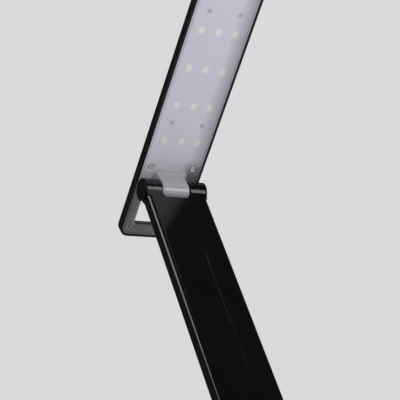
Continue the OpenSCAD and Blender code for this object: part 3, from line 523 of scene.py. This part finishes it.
# The socket's black tongue with its gilded contacts
mouth_low, mouth_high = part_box("charging_socket")
tongue_size = Vector((6.7, 4.95, 0.8)) * mm
tongue_front = mouth_high.y - 1.35 * mm
middle = Vector((0, tongue_front - tongue_size.y / 2, (mouth_low.z + mouth_high.z) / 2))
bm = bmesh.new()
add_block(bm, middle, tongue_size, 0.2 * mm)
piece_of("socket_tongue", bm, dark_nylon, "base")
gilding = metal("contact_gold", (0.83, 0.58, 0.22), (0.6, 0.4, 0.16), 0.18, rolled)
contact_pitch, contact_back = 0.58 * mm, 0.3 * mm
contact_size = Vector((0.3, 3.8, 0.06)) * mm
bm = bmesh.new()
for i in range(10):
    for face_side in (-1, 1):
        contact = middle + Vector((
            (i - 4.5) * contact_pitch, contact_back, face_side * tongue_size.z / 2))
        add_block(bm, contact, contact_size, 0.015 * mm)
piece_of("socket_contacts", bm, gilding, "base")

# Housing, buttons and light pipe
# One black ABS moulding with two hinge ears. Three satin buttons drop in from below and
# carry moulded signs in white; a clear rod beside them shows the charge light.
finish(black_abs, "base_top_housing")
satin_key = plastic("button_plastic", (0.03, 0.03, 0.032), (0.07, 0.07, 0.07),
    0.42, 0.1, 2200.0, 0.004 * mm, 0.3 * mm)
finish(satin_key, "power_button", "brighter_button", "dimmer_button")
sign_white = plastic("sign_white", (0.6, 0.6, 0.6), (0.5, 0.5, 0.5),
    0.45, 0.1, 2200.0, 0.003 * mm, 0.1 * mm)
sign_r = 0.28 * mm
sign_reach = 2.1 * mm
ring_r, ring_start, ring_turn = 2 * mm, 125, 290
ring_points = [math.radians(ring_start + ring_turn * i / 24) for i in range(25)]
signs = {
    "power": [[(math.cos(a) * ring_r, math.sin(a) * ring_r) for a in ring_points],
        [(0, 0.5 * mm), (0, 2.6 * mm)]],
    "brighter": [[(-sign_reach, 0), (sign_reach, 0)], [(0, -sign_reach), (0, sign_reach)]],
    "dimmer": [[(-sign_reach, 0), (sign_reach, 0)]],
}
for key, strokes in signs.items():
    key_low, key_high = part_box(key + "_button")
    top = (key_low + key_high) / 2
    top.z = key_high.z - sign_r * 0.55
    strand(key + "_sign", [[(x, y, 0) for x, y in stroke] for stroke in strokes], sign_r,
        sign_white, key + "_key", Matrix.Translation(top), "POLY")
clear_rod, tree, shader = new_material("light_pipe", Transmission_Weight=0.9, IOR=1.49)
place_of = add_node(tree, "TexCoord").outputs["Object"]
haze = noise(tree, place_of, 900.0)
surface = {
    "Color": blend(tree, haze, (0.86, 0.88, 0.86, 1), (0.95, 0.96, 0.95, 1)),
    "Roughness": ramp(tree, haze, 0.3, 0.7, 0.12, 0.25), "Height": haze}
wire_up(tree, shader, surface, 0.01 * mm)
finish(clear_rod, "charge_light_pipe")

# Lower hinge and base lead
# A turned steel pin runs through both ears and the arm's barrel, between brass friction
# washers. Pressed-in caps hide its ends. A silicone lead rises inside the left ear.
pin_steel = metal("pin_steel", (0.6, 0.6, 0.6), (0.46, 0.46, 0.47), 0.16, turned_round_x)
brass = metal("washer_brass", (0.72, 0.5, 0.2), (0.5, 0.34, 0.14), 0.24, turned_round_x)
cap_abs = plastic("cap_plastic", (0.0025, 0.0025, 0.003), (0.012, 0.012, 0.012),
    0.3, 0.08, 1500.0, 0.002 * mm, 0.35 * mm, Specular_IOR_Level=0.12)
red_sleeve = plastic("lead_sleeve", (0.3, 0.012, 0.01), (0.3, 0.012, 0.01),
    0.45, 0.1, 1500.0, 0.003 * mm, 0.1 * mm)
finish(pin_steel, "base_hinge_pin")
finish(cap_abs, "base_hinge_caps")
finish(red_sleeve, "base_lead")

# Arm
# One long moulding with the hinge barrels on it, in the same black ABS but polished in the
# mould, so that it mirrors the pale panel above it. Screws hold the cover on its back.
polished_abs = plastic("arm_plastic", (0.0045, 0.0045, 0.005), (0.022, 0.022, 0.024),
    0.15, 0.03, 1200.0, 0.0015 * mm, 0.5 * mm, dust=0.015, Specular_IOR_Level=0.32)
finish(polished_abs, "arm_front_shell", "arm_back_cover")
black_oxide = metal("black_screw_steel", (0.05, 0.05, 0.052), (0.03, 0.03, 0.03), 0.35, even)
finish(black_oxide, "arm_screws")
finish(pin_steel, "arm_stiffener")
finish(red_sleeve, "arm_lead")
finish(brass, "base_hinge_washers")

# Upper hinge
# A turned steel pin with brass friction washers, as below, in the arm's two knuckles. Caps
# are pressed into both ends of the barrel.
finish(pin_steel, "head_hinge_pin")
finish(brass, "head_hinge_washers")
finish(cap_abs, "head_hinge_caps")

# Head shell, bracket and lead
# The back shell is moulded in the polished black ABS with a raised rim and the handle loop.
# A die-cast zinc bracket, screwed to it, turns on the upper pin. Two wires pass its slot.
finish(polished_abs, "head_back_shell")
cast_zinc = metal("bracket_zinc", (0.52, 0.53, 0.55), (0.4, 0.41, 0.43), 0.38, even, 0.015 * mm)
finish(cast_zinc, "hinge_bracket")
finish(screw_steel, "bracket_screws")
finish(red_sleeve, "head_lead")

# Light board
# An aluminium board in white mask, with eight rows of three chips. Each chip is a white
# moulded package with a window of yellow phosphor. Six small screws hold the board.
head_lean = math.radians(42.4)
head_place = Matrix.Translation(upper_hinge) @ Matrix.Rotation(head_lean, 4, "X")
row_first, row_pitch, row_count = 32.3 * mm, 26.8 * mm, 8
column_pitch = 11.8 * mm
board_y = 12.5 * mm
chip_w, chip_t, chip_h = 2.8 * mm, 0.6 * mm, 3.5 * mm
white_mask = board("white_board", (0.78, 0.78, 0.8), (0.74, 0.74, 0.76))
finish(white_mask, "led_board")
small_steel = metal("small_screw_steel", (0.5, 0.5, 0.5), (0.35, 0.35, 0.35), 0.3, even)
finish(small_steel, "led_board_screws")
package_white = plastic("chip_package", (0.75, 0.75, 0.74), (0.7, 0.7, 0.7),
    0.4, 0.05, 3000.0, 0.003 * mm, 0.1 * mm)
phosphor = plastic("led_phosphor", (0.85, 0.6, 0.12), (0.85, 0.6, 0.12),
    0.3, 0.05, 5000.0, 0.01 * mm, 0.1 * mm)
chip_frame = 0.8 * mm
window_size = Vector((chip_w - chip_frame, 0.08 * mm, chip_h - chip_frame))
packages, windows = bmesh.new(), bmesh.new()
for row in range(row_count):
    for column in (-1, 0, 1):
        middle = Vector((column * column_pitch, board_y - chip_t / 2, row_first + row * row_pitch))
        add_block(packages, middle, Vector((chip_w, chip_t, chip_h)), 0.12 * mm)
        middle.y = board_y - chip_t
        add_block(windows, middle, window_size, 0.03 * mm)
packages = piece_of("chip_packages", packages, package_white, "lamp_head",
    head_place)
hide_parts("led_chips")
piece_of("chip_windows", windows, phosphor, "lamp_head", head_place)

# Frosted cover
# One opal acrylic plate over the light board and the handle, with a fine groove inside its
# edge and a sunk seat at each screw. Chips and small screws show through it softly; over the
# handle it lies on the black shell and looks dark grey. Painted shade darkens it near the hinge
# and the board's sides.
head_w, head_len, handle_len = 44.8 * mm, 232 * mm, 44.2 * mm
corner_r = 6.5 * mm
cover_front, cover_back = 10.55 * mm, 11.75 * mm
cover_in = 1.6 * mm
window_w, window_top, window_foot = 27.8 * mm, -9 * mm, -35 * mm
window_corner = 2 * mm
seats = [(x * mm, z * mm) for x in (-15, 15) for z in (11.6, 226.5)]
seats += [(x * mm, -37 * mm) for x in (-16.6, 16.6)]


def rounded_outline(width, low, high, radius, y, steps=8):
    points = []
    for corner, (a, b) in enumerate(((1, 1), (-1, 1), (-1, -1), (1, -1))):
        x = a * (width / 2 - radius)
        z = (high - radius) if b > 0 else (low + radius)
        for i in range(steps + 1):
            turn = math.radians(90 * corner + 90 * i / steps)
            points.append(Vector((x + radius * math.cos(turn), y, z + radius * math.sin(turn))))
    return points


def cover_outline(margin, y):
    return rounded_outline(head_w - 2 * margin, -handle_len + margin, head_len - margin,
        corner_r - margin, y)


def window_outline(margin, y):
    return rounded_outline(window_w + 2 * margin, window_foot - margin, window_top + margin,
        window_corner + margin, y)


def circle_outline(x, z, radius, y, steps=28):
    return [Vector((x + radius * math.cos(math.tau * i / steps), y,
        z + radius * math.sin(math.tau * i / steps))) for i in range(steps)]


def sweep(bm, outlines):
    rings = [[bm.verts.new(point) for point in outline] for outline in outlines]
    for near, far in zip(rings, rings[1:]):
        for i in range(len(near)):
            j = (i + 1) % len(near)
            bm.faces.new((near[i], near[j], far[j], far[i]))
    return rings[0], rings[-1]


def fill_between(bm, rings):
    edges = [bm.edges.get((ring[i - 1], ring[i])) for ring in rings for i in range(len(ring))]
    bmesh.ops.triangle_fill(bm, use_beauty=True, edges=edges)


edge_r, window_edge_r = 0.25 * mm, 0.3 * mm
groove_in, groove_w, groove_d = 1 * mm, 0.5 * mm, 0.35 * mm
lip, lean, edge_cut = 0.08 * mm, 0.06 * mm, 0.07 * mm
bm = bmesh.new()
groove_side = cover_in + groove_in
profile = [(cover_in, cover_back), (cover_in, cover_front + edge_r),
    (cover_in + edge_cut, cover_front + edge_cut), (cover_in + edge_r, cover_front),
    (groove_side - lip, cover_front), (groove_side, cover_front + lip),
    (groove_side + lean, cover_front + groove_d),
    (groove_side + groove_w - lean, cover_front + groove_d),
    (groove_side + groove_w, cover_front + lip),
    (groove_side + groove_w + lip, cover_front)]
fronts, backs = [], []
back_ring, front_ring = sweep(bm, [cover_outline(margin, y) for margin, y in profile])
fronts.append(front_ring)
backs.append(back_ring)
arc = [math.radians(angle) for angle in (90, 67.5, 45, 22.5, 0)]
profile = []
for a in arc:
    y = cover_front + window_edge_r * (1 - math.sin(a))
    profile.append((window_edge_r * (1 - math.cos(a)), y))
profile.append((0, cover_back))
front_ring, back_ring = sweep(bm, [window_outline(margin, y) for margin, y in profile])
fronts.append(front_ring)
backs.append(back_ring)
# Each seat has a softened rim, a straight wall, a flat floor and the screw's hole
seat_r, seat_d, hole_r = 2.1 * mm, 0.7 * mm, 1 * mm
for x, z in seats:
    profile = [(seat_r + 0.6 * mm, cover_front), (seat_r + 0.3 * mm, cover_front + 0.06 * mm),
        (seat_r + 0.1 * mm, cover_front + 0.18 * mm), (seat_r, cover_front + 0.36 * mm),
        (seat_r, cover_front + seat_d), (hole_r, cover_front + seat_d), (hole_r, cover_back)]
    front_ring, back_ring = sweep(bm, [circle_outline(x, z, radius, y) for radius, y in profile])
    fronts.append(front_ring)
    backs.append(back_ring)
fill_between(bm, fronts)
fill_between(bm, backs)

opal, tree, shader = new_material("frosted_cover", IOR=1.49)
place_of = add_node(tree, "TexCoord").outputs["Object"]
axes = add_node(tree, "SeparateXYZ", {0: place_of}).outputs
across = maths(tree, "ABSOLUTE", axes["X"])


def nearest(tree, value, start, pitch):
    # Distance to the nearest of many places, one pitch apart
    shifted = maths(tree, "SUBTRACT", value, start - pitch / 2)
    return maths(tree, "SUBTRACT", maths(tree, "FLOORED_MODULO", shifted, pitch), pitch / 2)


def round_spot(tree, dx, dz, half_w, half_h, inner, outer):
    wide, high = maths(tree, "DIVIDE", dx, half_w), maths(tree, "DIVIDE", dz, half_h)
    square = maths(tree, "ADD", maths(tree, "MULTIPLY", wide, wide), maths(
        tree, "MULTIPLY", high, high))
    return ramp(tree, maths(tree, "SQRT", square), outer, inner)


lit_end = row_first + (row_count - 0.5) * row_pitch
in_rows = maths(tree, "MULTIPLY", maths(
    tree, "GREATER_THAN", axes["Z"], row_first - row_pitch / 2), maths(
    tree, "LESS_THAN", axes["Z"], lit_end))
in_columns = maths(tree, "LESS_THAN", across, column_pitch * 1.5)
chip_spot = round_spot(tree, nearest(tree, axes["X"], 0.0, column_pitch),
    nearest(tree, axes["Z"], row_first, row_pitch), chip_w / 2, chip_h / 2, 0.6, 2.1)
chip_spot = maths(tree, "MULTIPLY", chip_spot, maths(tree, "MULTIPLY", in_rows, in_columns))
dot_x, dot_r = 10.7 * mm, 1.2 * mm
dot_start = row_first + row_pitch / 2
screw_dot = round_spot(tree, maths(tree, "SUBTRACT", across, dot_x),
    nearest(tree, axes["Z"], dot_start, 3 * row_pitch), dot_r, dot_r, 0.4, 1.9)
dot_depth = 0.65
screw_dot = maths(tree, "MULTIPLY", screw_dot, maths(tree, "MULTIPLY", in_rows, dot_depth))
cloud = noise(tree, place_of, 60.0)
over_board = blend(tree, cloud, (0.755, 0.742, 0.85, 1), (0.775, 0.762, 0.866, 1))
over_board = blend(tree, screw_dot, over_board, (0.3, 0.3, 0.33, 1))
over_board = blend(tree, chip_spot, over_board, (1.0, 0.93, 0.84, 1))
over_shell = blend(tree, cloud, (0.2, 0.197, 0.21, 1), (0.218, 0.215, 0.23, 1))
# Painted shade: the plate darkens towards the light board's edges, far more on the right, and
# towards the hinge, most to the right of the tongue; near the hinge the board also stops short
# over the black bracket. Along the handle the plate lies on the black shell.
board_edge, side_shade_depth = 19.5 * mm, 0.52
left_side = ramp(tree, axes["X"], -board_edge - 2 * mm, -board_edge + 3 * mm)
right_side = ramp(tree, axes["X"], board_edge + 1 * mm, board_edge - 11.5 * mm)
upper = ramp(tree, axes["Z"], 6 * mm, 22 * mm)
handle = ramp(tree, axes["Z"], -8 * mm, 2 * mm)
# Painted highlight: a lighter strip along each side of the handle's window, above its foot
beside_window = ramp(tree, across, window_w / 2 + 2.2 * mm, window_w / 2 + 1 * mm)
above_foot = ramp(tree, axes["Z"], window_foot - 1 * mm, window_foot + 2 * mm)
lit_rim = maths(tree, "MULTIPLY", beside_window, above_foot)
over_shell = blend(tree, lit_rim, over_shell, (0.33, 0.325, 0.345, 1))
# Painted shade deepest to the right of the tongue, where the hinge shadows the plate
clear_of_tongue_shade = ramp(tree, axes["X"], 13 * mm, 5 * mm)
shaded_over_bracket = blend(tree, clear_of_tongue_shade, (0.165, 0.162, 0.177, 1), (0.555, 0.545, 0.6, 1))
coloured = blend(tree, upper, shaded_over_bracket, over_board)
sides = maths(tree, "MULTIPLY", left_side, right_side)
painted_side_shade = maths(tree, "MULTIPLY", maths(tree, "SUBTRACT", 1.0, sides), side_shade_depth)
coloured = blend(tree, painted_side_shade, coloured, shaded_over_bracket)
coloured = blend(tree, handle, over_shell, coloured)
matt = noise(tree, place_of, 2600.0, 2.0)
surface = {
    "Color": coloured, "Roughness": ramp(tree, cloud, 0.3, 0.7, 0.32, 0.38),
    "Height": matt}
wire_up(tree, shader, surface, 0.004 * mm)
cover = piece_of("frosted_panel", bm, opal, "lamp_head", head_place)
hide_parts("front_cover")

# Hinge tongue
# The cover's own tongue, moulded over the zinc bracket in the same plastic with a silver
# backing. It leaves the plate in a soft root and wraps round the pin.
tongue_half, tongue_r, root_r = 9.75 * mm, 7 * mm, 2.6 * mm
end_r = 1.1 * mm
outlines = []
# The rounded nose, then the straight neck, then the root that flares into the plate
for i in range(17):
    turn = math.radians(3 + 87 * i / 16)
    y = -tongue_r * math.cos(turn)
    high = tongue_r * math.sin(turn)
    dip = min(y + tongue_r, end_r)
    half = tongue_half - end_r + math.sqrt(end_r ** 2 - (end_r - dip) ** 2)
    outlines.append(rounded_outline(2 * half, -high, high, min(end_r, high * 0.9), y, 4))
for y in (2.5 * mm, 5 * mm):
    outlines.append(rounded_outline(2 * tongue_half, -tongue_r, tongue_r, end_r, y, 4))
for i in range(9):
    turn = math.radians(90 * i / 8)
    flare = root_r * (1 - math.cos(turn))
    y = cover_front - root_r + root_r * math.sin(turn)
    outlines.append(rounded_outline(2 * (tongue_half + flare), -tongue_r, tongue_r + flare,
        end_r + flare * 0.8, y, 4))
bm = bmesh.new()
front_ring, back_ring = sweep(bm, outlines)
bm.faces.new(front_ring)
bm.faces.new(back_ring)
silver_opal, tree, shader = new_material("tongue_plastic", IOR=1.49, Specular_IOR_Level=0.5)
place_of = add_node(tree, "TexCoord").outputs["Object"]
cloud = noise(tree, place_of, 90.0)
depth = add_node(tree, "SeparateXYZ", {0: place_of}).outputs["Y"]
at_root = ramp(tree, depth, 2 * mm, 7 * mm, 0.0, 0.45)
surface = {
    "Color": blend(tree, cloud, (0.4, 0.395, 0.43, 1), (0.44, 0.435, 0.475, 1)),
    "Roughness": maths(tree, "ADD", ramp(tree, cloud, 0.3, 0.7, 0.14, 0.2), at_root),
    "Height": noise(tree, place_of, 2600.0, 2.0)}
wire_up(tree, shader, surface, 0.004 * mm)
tongue = piece_of("hinge_tongue", bm, silver_opal, "lamp_head", head_place)
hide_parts("front_cover")

# Screws of the cover and the handle
# Pan-head steel screws in the cover's sunk seats. The ones at the cover's ends are bright.
# The two in the handle are duller, with painted shade darkening the middle of each head over its
# recess.
bright_steel = metal("bright_screw_steel", (0.9, 0.9, 0.9), (0.75, 0.75, 0.75), 0.26, even,
    soften=0.8 * mm)
finish(bright_steel, "cover_screws")
dull_steel = metal("handle_screw_steel", (0.5, 0.5, 0.5), (0.4, 0.4, 0.4), 0.3, even,
    soften=0.6 * mm)
tree = dull_steel.node_tree
shader = tree.nodes["Principled BSDF"]
in_head = add_node(tree, "Mapping", {
    "Vector": add_node(tree, "TexCoord").outputs["Object"], "Location": upper_hinge,
    "Rotation": (head_lean, 0, 0)}, vector_type="TEXTURE").outputs[0]
axes = add_node(tree, "SeparateXYZ", {0: in_head}).outputs
# Painted shade: the middle of each handle screw's head is darkened over its cross recess
screw_x, screw_z = seats[-1]
recess_r = 1 * mm
painted_recess_shade = round_spot(tree, maths(tree, "SUBTRACT", maths(tree, "ABSOLUTE", axes["X"]), screw_x),
    maths(tree, "SUBTRACT", axes["Z"], screw_z), recess_r, recess_r, 0.5, 1.0)
steel = shader.inputs["Base Color"].links[0].from_socket
tree.links.new(blend(tree, painted_recess_shade, steel, (0.02, 0.02, 0.02, 1)), shader.inputs["Base Color"])
finish(dull_steel, "handle_screws")
